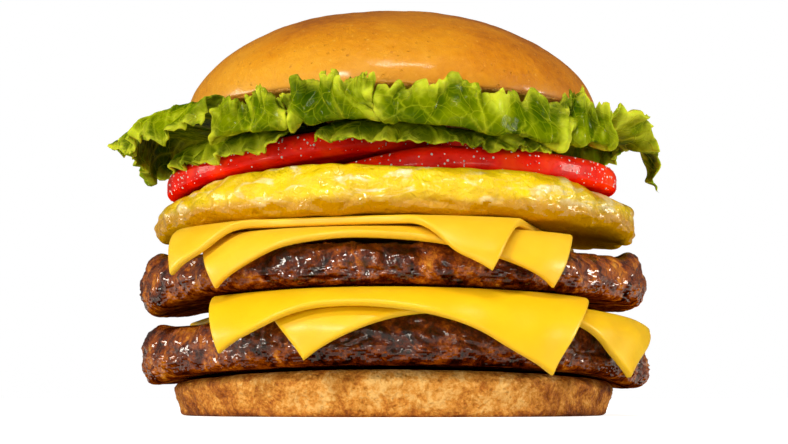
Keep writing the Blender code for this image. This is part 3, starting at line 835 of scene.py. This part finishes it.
class Surface:
    """A Principled material under construction: its constants, and chains of nodes."""

    def __init__(self, name, roughness, **constants):
        self.material = bpy.data.materials.new(name)
        self.material.use_nodes = True
        self.tree = self.material.node_tree
        self.shader = self.tree.nodes["Principled BSDF"]
        self.set_inputs(self.shader, roughness=roughness, **constants)
        place = self.node("TexCoord")
        self.place = place.outputs["Object"]
        self.flat = place.outputs["UV"]

    def set_inputs(self, node, **values):
        """Give the inputs of a node their constants."""
        for socket, value in values.items():
            title = socket.replace("_", " ").title().replace("Ior", "IOR")
            node.inputs[title].default_value = value

    def node(self, kind, **values):
        """A new node with the given constants."""
        node = self.tree.nodes.new("ShaderNode" + kind)
        self.set_inputs(node, **values)
        return node

    def join(self, value, socket):
        """Drive a socket of any node."""
        self.tree.links.new(value, socket)

    def link(self, value, socket):
        """Drive a socket of the shader."""
        self.join(value, self.shader.inputs[socket])

    def noise(self, size, detail=4.0, roughness=0.55, warp=0.0, stretch=None):
        """Noise with lumps of a size in millimetres, optionally stretched along the axes."""
        texture = self.node("TexNoise", scale=1 / (size * MM), detail=detail,
                            roughness=roughness, distortion=warp)
        place = self.place
        if stretch:
            mapping = self.node("Mapping", scale=stretch)
            self.join(place, mapping.inputs["Vector"])
            place = mapping.outputs["Vector"]
        self.join(place, texture.inputs["Vector"])
        return texture.outputs["Fac"]

    def cells(self, size, feature="F1", place=None):
        """Distance to the nearest of scattered points, or to the border between them."""
        texture = self.node("TexVoronoi", scale=1 / size)
        texture.feature = feature
        self.join(place or self.place, texture.inputs["Vector"])
        return texture.outputs["Distance"]

    def dots(self, apart, inner, outer):
        """Soft dots scattered so many millimetres apart, with radii as shares of that."""
        return self.step(self.cells(apart * MM), inner, outer, 1.0, 0.0)

    def axis(self, letter):
        """One of the object's own coordinates, in metres."""
        parts = self.node("SeparateXYZ")
        self.join(self.place, parts.inputs[0])
        return parts.outputs[letter]

    def sideways(self):
        """The distance to the left or right of the middle, in metres."""
        return self.math("ABSOLUTE", self.axis("X"))

    def warped(self, place, size, amount):
        """A place moved about by noise, for patterns that shouldn't look ruled."""
        texture = self.node("TexNoise", scale=1 / size)
        shift = self.node("VectorMath")
        shift.operation = "MULTIPLY_ADD"
        shift.inputs[1].default_value = (amount, amount, amount)
        self.join(place, texture.inputs["Vector"])
        self.join(texture.outputs["Color"], shift.inputs[0])
        self.join(place, shift.inputs[2])
        return shift.outputs[0]

    def mark(self, name):
        """A number that the mesh carries for each vertex."""
        node = self.node("Attribute")
        node.attribute_name = name
        return node.outputs["Fac"]

    def math(self, kind, first, second=0.0):
        """The sum, product or other combination of two values or numbers."""
        node = self.node("Math")
        node.operation = kind
        for socket, value in zip(node.inputs, (first, second)):
            if isinstance(value, (int, float)):
                socket.default_value = value
            else:
                self.join(value, socket)
        return node.outputs[0]

    def weighted(self, first, weight, second, second_weight):
        """The sum of two values, each times its weight."""
        return self.math("ADD", self.math("MULTIPLY", first, weight),
                         self.math("MULTIPLY", second, second_weight))

    def step(self, value, low, high, start=0.0, stop=1.0):
        """A soft step of a value between two levels."""
        node = self.node("MapRange", from_min=low, from_max=high, to_min=start, to_max=stop)
        node.interpolation_type = "SMOOTHSTEP"
        self.join(value, node.inputs["Value"])
        return node.outputs["Result"]

    def colours(self, value, stops):
        """Colours by a value; each stop is a position and a linear colour."""
        ramp = self.node("ValToRGB")
        points = ramp.color_ramp.elements
        while len(points) < len(stops):
            points.new(0.5)
        for point, (position, colour) in zip(points, stops):
            point.position = position
            point.color = (*colour, 1.0)
        self.join(value, ramp.inputs["Fac"])
        return ramp.outputs["Color"]

    def mix(self, share, first, second):
        """A blend of two colours, each a socket or a linear colour."""
        node = self.node("Mix")
        node.data_type = "RGBA"
        self.join(share, node.inputs["Factor"])
        for socket, colour in ((node.inputs[6], first), (node.inputs[7], second)):
            if isinstance(colour, tuple):
                socket.default_value = (*colour, 1.0)
            else:
                self.join(colour, socket)
        return node.outputs[2]

    def bumps(self, *layers, socket="Normal"):
        """Fine relief in layers, each a value and the height in millimetres that it gives."""
        normal = None
        for value, height in layers:
            node = self.node("Bump", distance=height * MM)
            self.join(value, node.inputs["Height"])
            if normal is not None:
                self.join(normal, node.inputs["Normal"])
            normal = node.outputs["Normal"]
        self.link(normal, socket)


def toasted_bun(name):
    """Porous toasted crumb: golden in front, browner at the sides and along its foot."""
    s = Surface(name, 0.62, specular_ior_level=0.2)
    mottle = s.noise(5.0, 6.0, 0.66, 0.6)
    grain = s.noise(0.8, 3.0, 0.6)
    tone = s.math("SUBTRACT", s.weighted(mottle, 1.05, grain, 0.50), 0.235)
    wide = s.step(s.sideways(), 0.016, 0.050)
    tone = s.math("SUBTRACT", tone, s.math("MULTIPLY", wide, 0.16))
    low = s.step(s.axis("Z"), 0.0, 0.0022, 1.0, 0.0)
    tone = s.math("SUBTRACT", tone, s.math("MULTIPLY", low, 0.16))
    s.link(s.colours(tone, TOASTED_CRUMB), "Base Color")
    pores = s.step(s.cells(1.1 * MM), 0.05, 0.5)
    s.bumps((s.noise(2.4, 5.0, 0.6), 0.9), (pores, 0.16), (grain, 0.4))
    return s.material


def browned_meat(name, wet):
    """Grilled mince: dark brown with reddish and golden flecks, under a film of fat where wet.

    The middle of the lower patty, which lies in the shade, is darker.
    """
    s = Surface(name, 0.42, coat_weight=0.9 * wet, coat_roughness=0.06, specular_ior_level=0.2 * wet)
    patches = s.noise(7.0, 6.0, 0.62, 0.8)
    flecks = s.noise(1.3, 4.0, 0.7, 0.5)
    middle = s.step(s.sideways(), 0.015, 0.045, 1.0, 0.0)
    shaded = s.math("MULTIPLY", middle, s.step(s.axis("Z"), 0.021, 0.026, 0.045, 0.0))
    tone = s.math("SUBTRACT", s.weighted(patches, 0.66, flecks, 0.34), shaded)
    s.link(s.colours(tone, MEAT_BROWNS), "Base Color")
    s.link(s.step(patches, 0.40, 0.6, 0.36, 0.62), "Roughness")
    s.bumps((s.noise(2.0, 4.0, 0.6), 0.7), (s.noise(0.8, 3.0, 0.6), 0.30))
    s.bumps((s.noise(1.5, 2.0), 0.12), socket="Coat Normal")
    return s.material


def cheese(name, colours):
    """Satin processed cheese, a little deeper in cloudy patches."""
    s = Surface(name, 0.42, subsurface_weight=0.15, subsurface_radius=(1.0, 0.65, 0.12),
                subsurface_scale=0.0018, coat_weight=0.12, coat_roughness=0.25,
                specular_ior_level=0.3)
    s.link(s.colours(s.noise(13.0, 3.0, 0.5), colours), "Base Color")
    s.bumps((s.noise(3.5, 3.0), 0.10), (s.noise(0.6, 2.0), 0.012))
    return s.material


def egg(name, wet):
    """Folded egg: yolk yellow with pale patches, and browner below and at its ends."""
    s = Surface(name, 0.34, subsurface_weight=0.12, subsurface_radius=(1.0, 0.7, 0.2),
                subsurface_scale=0.0015, coat_weight=0.4 * wet, coat_roughness=0.10,
                specular_ior_level=0.35 * wet)
    patches = s.noise(9.0, 5.0, 0.6, 1.6, (0.55, 0.55, 1.5))
    yellow = s.colours(s.noise(6.0, 3.0), EGG_YELLOWS)
    pale = s.colours(s.noise(1.6, 4.0), EGG_PALES)
    body = s.mix(s.step(patches, 0.53, 0.62), yellow, pale)
    low = s.math("ADD", s.axis("Z"), s.math("MULTIPLY", s.noise(7.0, 3.0), 0.004))
    browned = s.step(low, 0.0458, 0.0486, 1.0, 0.0)
    ends = s.math("MULTIPLY", s.step(s.sideways(), 0.046, 0.058),
                  s.step(s.noise(3.0, 4.0), 0.42, 0.66))
    browned = s.math("MAXIMUM", s.math("MAXIMUM", browned, ends), 1.0 - wet)
    s.link(s.mix(browned, body, EGG_BROWNED), "Base Color")
    pits = s.step(s.cells(3.2 * MM), 0.08, 0.30)
    s.bumps((s.noise(2.4, 5.0, 0.6, 0.6), 0.9), (pits, 0.2), (s.noise(0.7, 3.0), 0.15))
    s.bumps((s.noise(1.8, 3.0), 0.14), socket="Coat Normal")
    return s.material


def tomato(name, wet):
    """Red tomato with a streaked skin, which is wet and set with patches of fine raised specks."""
    s = Surface(name, 0.42, subsurface_weight=0.06, subsurface_radius=(1.0, 0.15, 0.05),
                subsurface_scale=0.002, coat_weight=0.12 * wet, coat_roughness=0.05,
                specular_ior_level=0.1 * wet)
    s.link(s.colours(s.noise(7.0, 4.0, 0.5, 0.4), TOMATO_REDS), "Base Color")
    patches = s.step(s.noise(3.0, 2.0), 0.42, 0.52)
    specks = s.math("MULTIPLY", s.dots(1.15, 0.14, 0.24), patches)
    s.bumps((s.noise(4.0, 3.0), 0.35), (specks, 0.12))
    return s.material


def water():
    """Beads of water, only partly clear: their white colour is a painted glint."""
    s = Surface("water_beads", 0.05, transmission_weight=0.3, ior=1.33, coat_weight=1.0,
                coat_roughness=0.03)
    # Painted glint: the beads are coloured white where clear water would only catch highlights.
    s.link(s.colours(s.noise(2.0), BEAD_GLINT_WHITES), "Base Color")
    return s.material


def lettuce():
    """Thin leaf: green between a net of pale veins, and yellow-green along its rims. Its fold tops are
    painted lighter and the hollows between them darker: painted light and shade.
    """
    s = Surface("lettuce", 0.6, subsurface_weight=0.5, subsurface_radius=(0.6, 1.0, 0.1),
                subsurface_scale=0.0015, coat_weight=0.05, coat_roughness=0.12,
                specular_ior_level=0.0)
    # The fold mark adds painted light on the tops of the folds and painted shade in the hollows
    # between them.
    tone = s.weighted(s.noise(12.0, 4.0, 0.55), 0.78, s.mark("swell"), 0.22)
    green = s.colours(tone, LEAF_GREENS)
    flat = s.warped(s.flat, 0.05, 0.03)
    wide_net = s.step(s.cells(0.060, "DISTANCE_TO_EDGE", flat), 0.0, 0.040, 1.0, 0.0)
    fine_net = s.step(s.cells(0.021, "DISTANCE_TO_EDGE", flat), 0.0, 0.10, 1.0, 0.0)
    net = s.weighted(wide_net, 0.26, fine_net, 0.13)
    vein = s.mark("vein")
    body = s.mix(s.math("ADD", s.math("MULTIPLY", vein, 0.62), net), green, LEAF_VEIN)
    rim = s.math("MULTIPLY", s.mark("rim"), s.step(s.noise(4.0), 0.40, 0.62, 0.15, 0.85))
    s.link(s.mix(rim, body, LEAF_RIM), "Base Color")
    s.bumps((s.noise(2.6, 4.0), 0.55), (s.math("ADD", wide_net, vein), 0.14))
    return s.material


def glazed_bun():
    """Glossy golden crust with fine pores and wrinkles.

    It is browner high up and to the right. The lip at its lower edge, where the crust curls under, is
    darkened with painted shade.
    """
    s = Surface("glazed_bun", 0.45, coat_weight=0.35, coat_roughness=0.2, specular_ior_level=0.2)
    tone = s.weighted(s.noise(20.0, 4.0, 0.5, 0.5), 0.60, s.noise(1.8, 3.0, 0.6), 0.26)
    tone = s.math("ADD", tone, s.step(s.axis("Z"), 0.070, 0.093, 0.15, -0.09))
    tone = s.math("SUBTRACT", tone, s.step(s.axis("X"), 0.005, 0.052, 0.0, 0.20))
    crust = s.colours(tone, CRUST_GOLDS)
    crust = s.mix(s.math("MULTIPLY", s.dots(4.2, 0.05, 0.10), 0.5), crust, CRUST_FRECKLE)
    crust = s.mix(s.math("MULTIPLY", s.dots(2.7, 0.06, 0.14), 0.35), crust, CRUST_FLECK)
    # Painted shade: the lip where the crust curls under is darkened.
    lip = s.step(s.axis("Z"), 0.0690, 0.0706, 1.0, 0.0)
    s.link(s.mix(lip, crust, CRUST_LIP_SHADE), "Base Color")
    pores = s.step(s.cells(2.4 * MM), 0.05, 0.16)
    s.bumps((s.noise(2.6, 6.0, 0.7, 0.7), 0.42), (pores, 0.20), (s.noise(0.55, 2.0), 0.06))
    return s.material


def pale_floor():
    """Plain white table, whose glow shows it as white as the surroundings."""
    s = Surface("pale_floor", 0.7, specular_ior_level=0.1, emission_color=(*WHITE, 1.0))
    s.link(s.colours(s.noise(400.0), FLOOR_WHITES), "Base Color")
    seen = s.node("LightPath")
    glow = s.math("MULTIPLY", seen.outputs["Is Camera Ray"], FLOOR_GLOW)
    s.link(glow, "Emission Strength")
    return s.material


# Stage.

def add_camera():
    """The photograph's view: from near the table, tilted up at the burger."""
    data = bpy.data.cameras.new("camera")
    data.sensor_width = SENSOR_WIDTH
    data.lens = FOCAL_PIXELS * SENSOR_WIDTH / FRAME_WIDTH
    camera = add_object("camera", data)
    camera.location = Vector((AXIS_X, AXIS_Y - CAMERA_BACK, CAMERA_UP)) * MM
    tilt = math.atan((HORIZON_ROW - FRAME_HEIGHT / 2) / FOCAL_PIXELS)
    turn = math.atan(CAMERA_TURN / FOCAL_PIXELS)
    camera.rotation_euler = (math.radians(90) + tilt, 0.0, turn)
    bpy.context.scene.camera = camera


def add_light(name, place, target, size, power):
    """A soft box of the given width and height in metres, aimed at a point."""
    data = bpy.data.lights.new(name, "AREA")
    data.shape = "RECTANGLE"
    data.size, data.size_y = size
    data.energy = power
    data.color = WARM
    lamp = add_object(name, data)
    lamp.location = place
    lamp.rotation_euler = (Vector(target) - Vector(place)).to_track_quat("-Z", "Y").to_euler()


def add_sun(name, direction, strength, angle):
    """An even light from far away, softened over an angle in degrees."""
    data = bpy.data.lights.new(name, "SUN")
    data.energy = strength
    data.angle = math.radians(angle)
    data.color = WARM
    lamp = add_object(name, data)
    lamp.rotation_euler = (-Vector(direction)).to_track_quat("-Z", "Y").to_euler()


def add_surroundings():
    """White surroundings that light the burger less, and more warmly, than they show."""
    world = bpy.data.worlds.new("surroundings")
    world.use_nodes = True
    tree = world.node_tree
    seen = tree.nodes.new("ShaderNodeLightPath")
    tint = tree.nodes.new("ShaderNodeMix")
    tint.data_type = "RGBA"
    tint.inputs[6].default_value = (*WARM, 1.0)
    tint.inputs[7].default_value = (*WHITE, 1.0)
    tree.links.new(seen.outputs["Is Camera Ray"], tint.inputs["Factor"])
    tree.links.new(tint.outputs[2], tree.nodes["Background"].inputs["Color"])
    strength = tree.nodes.new("ShaderNodeMapRange")
    strength.inputs["To Min"].default_value = SURROUNDINGS
    strength.inputs["To Max"].default_value = 1.0
    tree.links.new(seen.outputs["Is Camera Ray"], strength.inputs["Value"])
    tree.links.new(strength.outputs["Result"], tree.nodes["Background"].inputs["Strength"])
    bpy.context.scene.world = world


def add_stage():
    """Pale floor, white surroundings and soft lights."""
    mesh = bpy.data.meshes.new("floor")
    corners = [(x * FLOOR_REACH, y * FLOOR_REACH, 0) for x, y in ((-1, -1), (1, -1), (1, 1), (-1, 1))]
    mesh.from_pydata(corners, [], [(0, 1, 2, 3)])
    mesh.materials.append(pale_floor())
    add_object("floor", mesh)
    add_surroundings()
    bpy.context.scene.view_settings.view_transform = "Standard"
    add_sun("key", KEY_FROM, KEY_STRENGTH, KEY_SOFTNESS)
    for name, box in LIGHT_BOXES.items():
        add_light(name, *box)


# The burger, from the bottom up.

def build_heel():
    """The bottom bun."""
    rings = disc_rings(HEEL_RADIUS, HEEL_TOP, 0.0, (HEEL_ROUND_TOP, HEEL_ROUND_BOTTOM),
                       HEEL_TAPER, HEEL_STEPS)
    turned("bun_heel", rings, HEEL_POINTS, heel_shape, toasted_bun("toasted_bun"))


def build_patties(lower, upper):
    """The two patties, with fat on all but their undersides."""
    meat = browned_meat("browned_meat", 1.0)
    meat_under = browned_meat("browned_meat_under", 0.0)
    for name, patty in (("patty_lower", lower), ("patty_upper", upper)):
        rings = disc_rings(PATTY_RADIUS, patty.top, patty.bottom,
                           (PATTY_ROUND_TOP, PATTY_ROUND_BOTTOM), 0.0, PATTY_STEPS)
        turned(name, rings, PATTY_POINTS, patty.shape, meat, meat_under)


def build_cheese(lower, upper):
    """The two slices on each patty."""
    deep = cheese("cheese_deep", DEEP_CHEESE)
    pale = cheese("cheese_pale", PALE_CHEESE)
    for level, patty, material in (("lower", lower, deep), ("upper", upper, pale)):
        cheese_sheet(f"cheese_{level}_under", patty, CHEESE_CLEAR, material)
        over = CHEESE_CLEAR + CHEESE_THICK + CHEESE_GAP
        cheese_sheet(f"cheese_{level}_over", patty, over, material)


def build_egg():
    """The folded egg."""
    rings = disc_rings(EGG_RADIUS, EGG_TOP, EGG_BOTTOM, (EGG_ROUND_TOP, EGG_ROUND_BOTTOM),
                       0.0, EGG_STEPS)
    turned("egg_patty", rings, EGG_POINTS, egg_shape, egg("egg", 1.0), egg("egg_under", 0.0))


def build_tomatoes():
    """The two tomato slices and the water on them."""
    red = tomato("tomato", 1.0)
    red_under = tomato("tomato_under", 0.0)
    slices = []
    for name, radius, shape in (("tomato_right", RIGHT_TOMATO_RADIUS, right_tomato_shape),
                                ("tomato_left", LEFT_TOMATO_RADIUS, left_tomato_shape)):
        rings = disc_rings(radius, TOMATO_THICK, 0.0, (TOMATO_ROUND, TOMATO_ROUND), 0.0,
                           TOMATO_STEPS)
        slices.append(turned(name, rings, TOMATO_POINTS, shape, red, red_under))
    water_beads(slices, water())


def build_crown():
    """The top bun, whose cut face is toasted crumb."""
    crumb = toasted_bun("crown_under")
    turned("bun_crown", crown_rings(CROWN_STEPS), CROWN_POINTS, crown_shape, glazed_bun(),
           crumb)


def build():
    """Every piece of the burger."""
    lower = Patty(LOWER_PATTY_TOP, LOWER_PATTY_BOTTOM, LOWER_PATTY_RISE, LOWER_PATTY_DROP, seed=1.0)
    upper = Patty(UPPER_PATTY_TOP, UPPER_PATTY_BOTTOM, UPPER_PATTY_RISE, UPPER_PATTY_DROP, seed=4.0)
    build_heel()
    build_patties(lower, upper)
    build_cheese(lower, upper)
    build_egg()
    build_tomatoes()
    green = lettuce()
    for leaf in LEAVES:
        leaf_piece(leaf, green)
    build_crown()


build()
add_stage()
add_camera()
